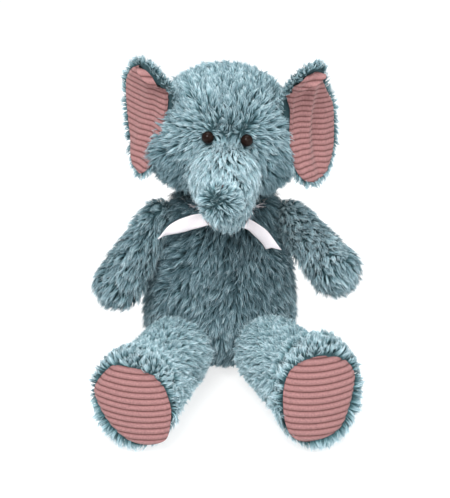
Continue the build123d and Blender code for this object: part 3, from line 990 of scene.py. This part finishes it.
for side in SIDES:
    hip, ankle = LEG_RADII[side]
    shank = string_of_balls(HIP[side], hip - PILE_INSET, ANKLE[side], ankle - PILE_INSET, 7)
    leg = stuffed(f"{side}_leg_skin", shank + [foot_form(side, PILE_INSET)], voxel=4.5, smooth=5,
                  pressure=3.0, cap=2.0)
    skin_piece(f"{side}_leg_skin", f"{side}_leg", leg, (f"{side}_leg_cover",))
    x, y, z = foot_axes(side)

    def off_pad(p, side=side, x=x, y=y, z=z):
        """Everywhere but under the pad."""
        rel = p - FOOT[side]
        share = pad_reach(side, rel @ x, rel @ y + PAD_DROP)
        return (~((rel @ z > 6) & (share < 0.97))).astype(float)

    def leg_nap(p, side=side, z=z):
        """Back along the leg, and forwards over the rim of the sole."""
        rel = p - FOOT[side]
        out = rel - (rel @ z)[:, None] * z
        front = np.clip((rel @ z + 4) / 8, 0, 1)[:, None]
        down = np.array((0, 0, -1.0)) * 14
        return (down - z * 30) * (1 - front) + (z * 12 + unit(out) * 28) * front

    def leg_lift(p, side=side, z=z):
        return np.interp((p - FOOT[side]) @ z, (-10, 6), (26, 36))

    # the legs' pale strands are painted light: their tops face the light from above
    pile(f"{side}_leg_pile", f"{side}_leg", leg, leg_nap, tone=0.84, seed=51 + (side == "left"),
         keep=off_pad, swirl=0.35, lift=leg_lift, length=13.0, density=1.1)

# ---- foot pads ----------------------------------------------------------------------------
for side in SIDES:
    x, y, z = foot_axes(side)
    wide, high = PAD_RADII[side]
    face = FOOT[side] + z * (FOOT_THICK / 2 - PAD_FACE) - y * PAD_DROP
    rings, around = 60, 120
    points, uvs = [face + z * PAD_DOME], [(0.5, 0.5)]
    pitch = 2 * high / PAD_WALES
    edge = smooth_loop(PAD_EDGE[side], around)
    for i in range(1, rings + 1):
        r = i / rings
        dome = PAD_DOME * (1 - r ** 2) - 3.0 * max(0, r - 0.9) * 10
        for a, b in edge * r:
            sag = b + WALE_SAG * (1 - (a / wide) ** 2) + WALE_SLOPE[side] * a
            ridge = PAD_RIDGE * wale_ridge(sag / pitch)
            points.append(face + x * a + y * b + z * (dome + ridge))
            uvs.append((a / wide, sag / pitch))
    mesh = mesh_of(f"{side}_sole_pad", points, disc_faces(rings, around))
    corduroy_piece(f"{side}_sole_pad", f"{side}_leg", f"{side}_foot_pad", faced(mesh, z), uvs)

# ---- ribbon -------------------------------------------------------------------------------
RIBBON_THICK = 0.6


def strip(name, body, lines, closed=False):
    """A thin band of cloth through rows of points; each row goes across it."""
    lines = np.asarray(lines, float)
    rows, across = lines.shape[:2]
    along = np.gradient(lines, axis=0)
    over = np.gradient(lines, axis=1)
    normal = unit(np.cross(along, over))
    front = lines + normal * RIBBON_THICK / 2
    back = lines - normal * RIBBON_THICK / 2
    points = np.vstack((front.reshape(-1, 3), back.reshape(-1, 3)))
    half = rows * across
    faces = []
    last = rows if closed else rows - 1
    for i in range(last):
        k = (i + 1) % rows
        for j in range(across - 1):
            a, b, c, d = i * across + j, i * across + j + 1, k * across + j + 1, k * across + j
            faces.append((a, b, c, d))
            faces.append((half + d, half + c, half + b, half + a))
        a, d = i * across, k * across
        faces.append((a, d, half + d, half + a))
        b, c = i * across + across - 1, k * across + across - 1
        faces.append((b, half + b, half + c, c))
    if not closed:
        for i in (0, rows - 1):
            for j in range(across - 1):
                a, b = i * across + j, i * across + j + 1
                faces.append((a, half + a, half + b, b) if i == 0 else (a, b, half + b, half + a))
    mesh = mesh_of(name, points, faces)
    mesh.materials.append(SATIN)
    return link(name, mesh, body)


RIBBON_TAILS = {
    "right": [(-7, -68, 213), (-17, -71, 214), (-29, -71, 211),
              (-44, -69, 204), (-58, -69, 197), (-71, -72, 190)],
    "left": [(14, -68, 209), (22, -70, 210), (31, -70, 206),
             (40, -68, 197), (49, -65, 185), (58, -62, 172)],
}
TAIL_WIDTHS = {"right": [9, 15, 18.5, 17, 11.5, 1.5], "left": [7, 12, 15, 15.5, 15, 15.5]}
TAIL_LEAN = {"right": (0.30, -0.15, 0.94), "left": (0.80, -0.25, 0.55)}
for side in SIDES:
    rows, across = 40, 9
    spine = curve_through(RIBBON_TAILS[side], rows)
    widths = np.interp(np.linspace(0, 5, rows), range(6), TAIL_WIDTHS[side])
    direction = unit(np.gradient(spine, axis=0))
    lean = np.array(TAIL_LEAN[side])
    over = unit(lean - direction * (direction @ lean)[:, None])
    out = np.cross(direction, over)
    out = out * np.sign(-out[:, 1:2])
    lines = []
    for i in range(rows):
        row = []
        for j in range(across):
            x = (j / (across - 1) - 0.5) * 2
            slant = direction[i] * (x * 4.5 if side == "left" else 0.0) * (i / (rows - 1)) ** 3
            notch = direction[i] * (-4.0 * (1 - abs(x)) if side == "left" else 0.0) * (i / (rows - 1)) ** 6
            curl = out[i] * (1.8 * x * x * math.sin(i * 0.16) + 0.8 * math.sin(i * 0.35 + x * 1.5))
            row.append(spine[i] + over[i] * x * widths[i] / 2 + curl + slant + notch)
        lines.append(row)
    tail = strip(f"ribbon_{side}_tail_satin", f"ribbon_{side}", lines)
    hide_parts(f"ribbon_{side}_tail")

# the band round the neck, in pleats as it is when tied
COLLAR_HEIGHT = 213.0
COLLAR_HALF_WIDTH = 4.0
COLLAR_INSET = 5.6  # from the height of the torso's pile
rows, across = 96, 19
lines = []
for q in np.linspace(0, 2 * math.pi, rows, endpoint=False):
    row = []
    for j in range(across):
        x = (j / (across - 1) - 0.5) * 2
        z = COLLAR_HEIGHT + x * COLLAR_HALF_WIDTH + 0.6 * math.sin(3 * q)
        a, b, cx, cy = torso_at(z)
        pleat = 1.15 * math.cos(2 * math.pi * x + 0.5 * math.sin(2 * q))
        puff = -COLLAR_INSET + pleat + 0.3 * math.sin(9 * q + x)
        row.append((cx + (a + puff) * math.cos(q), cy + (b + puff) * math.sin(q), z))
    lines.append(row)
collar = strip("ribbon_collar_satin", "torso", lines, closed=True)
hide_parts("ribbon_collar")

KNOT = np.array((3.5, -62.0, 211.5))
KNOT_RADII = (8.0, 5.0, 6.5)
points, faces = ball(KNOT, KNOT_RADII, None, 26, 36)
rel = points - KNOT
fold = 0.9 * np.sin(np.arctan2(rel[:, 2], rel[:, 0]) * 6 + rel[:, 1] * 0.4) * (np.abs(rel[:, 1]) / 5.0)
mesh = mesh_of("ribbon_knot_satin", points + unit(rel) * fold[:, None], faces)
mesh.materials.append(SATIN)
knot = link("ribbon_knot_satin", mesh, "torso")
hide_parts("ribbon_knot")

# ---- tail ---------------------------------------------------------------------------------
tail_skin = stuffed("tail_skin", string_of_balls(TAIL_ROOT, 5.0, TAIL_END, 3.0), voxel=2.0, smooth=2)
skin_piece("tail_skin", "tail", tail_skin, ("tail",))
pile("tail_pile", "tail", tail_skin, steady(TAIL_END - TAIL_ROOT), tone=0.45, seed=71, swirl=0.3, lift=30,
     length=12.0)

# ---- camera, light, floor -----------------------------------------------------------------
camera_data = bpy.data.cameras.new("camera")
camera_data.sensor_fit = "HORIZONTAL"
camera_data.sensor_width = 36.0
camera_data.lens = 92.45
camera_data.shift_x = 3.0 / 450.0
camera = bpy.data.objects.new("camera", camera_data)
bpy.context.scene.collection.objects.link(camera)
camera.location = (0.0, -1.2382, 0.72115)
aim = Vector((0.0, -0.060, 0.17175)) - camera.location
camera.rotation_euler = aim.to_track_quat("-Z", "Y").to_euler()
bpy.context.scene.camera = camera

HALF_FLOOR = 3000
floor_mesh = mesh_of("floor", [(-HALF_FLOOR, -HALF_FLOOR, 0), (HALF_FLOOR, -HALF_FLOOR, 0),
                               (HALF_FLOOR, HALF_FLOOR, 0), (-HALF_FLOOR, HALF_FLOOR, 0)], [(0, 1, 2, 3)])
floor_look = plain_material("floor_pale", (0.39, 0.39, 0.39), (0.41, 0.41, 0.41), 3.0, Roughness=0.9)
floor_shader = floor_look.node_tree.nodes["Principled BSDF"]
floor_shader.inputs["Emission Color"].default_value = (1, 1, 1, 1)
floor_shader.inputs["Emission Strength"].default_value = 0.72
floor_mesh.materials.append(floor_look)
floor = link("floor", floor_mesh, None)

world = bpy.data.worlds.new("studio")
bpy.context.scene.world = world
world.use_nodes = True
sky = world.node_tree.nodes["Background"]
sky.inputs["Color"].default_value = (1, 1, 1, 1)
sky.inputs["Strength"].default_value = 0.62


def softbox(name, place, aim_at, size, power):
    """A square area light aimed at a point."""
    data = bpy.data.lights.new(name, "AREA")
    data.size = size
    data.energy = power
    lamp = bpy.data.objects.new(name, data)
    bpy.context.scene.collection.objects.link(lamp)
    lamp.location = place
    lamp.rotation_euler = (Vector(aim_at) - Vector(place)).to_track_quat("-Z", "Y").to_euler()


BELLY = (0, -0.05, 0.18)
softbox("key", (-0.35, -1.25, 1.55), BELLY, 0.9, 30)
softbox("fill", (1.2, -1.0, 1.0), BELLY, 1.2, 6)
softbox("top", (0.0, 0.1, 1.8), BELLY, 1.2, 10)
softbox("glint", (0.30, -1.15, 0.80), (0, -0.09, 0.30), 0.05, 3.0)
bpy.context.scene.view_settings.view_transform = "Standard"

# the CAD parts that stay visible, and a fitting look for the ones that are replaced
for name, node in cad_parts.items():
    if "stuffing" in name:
        look = FILLING
    elif "washer" in name:
        look = WASHER
    elif name.endswith("_eye"):
        look = EYE
    elif "lining" in name or "pad" in name:
        look = CORDUROY
    elif "ribbon" in name:
        look = SATIN
    elif "seam" in name:
        look = SEAM_CLOTH
    else:
        look = BACKING_PAINTED_SHADE
    node.data.materials.clear()
    node.data.materials.append(look)
